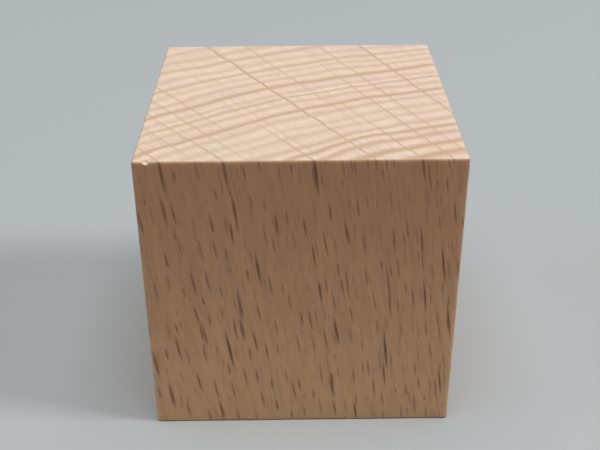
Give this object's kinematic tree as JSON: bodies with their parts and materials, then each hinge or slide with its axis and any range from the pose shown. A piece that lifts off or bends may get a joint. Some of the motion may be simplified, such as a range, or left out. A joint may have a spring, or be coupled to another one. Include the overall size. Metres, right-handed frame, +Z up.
{
  "type": "wooden cube",
  "caption": "Solid beech cube with lightly eased edges, cut square from planed stock with end grain on its top and bottom faces.",
  "frame": {"origin": "centre of the bottom face, the face the cube rests on", "axes": "+Z up along the grain, -Y out of the front face, +X to the front face's right"},
  "size_m": [0.03, 0.03, 0.03],
  "materials": {
    "beech": "planed and fine-sanded bare European beech, matt, end grain on top and bottom"
  },
  "bodies": {
    "root": {"beech_cube": "beech"}
  },
  "joints": []
}
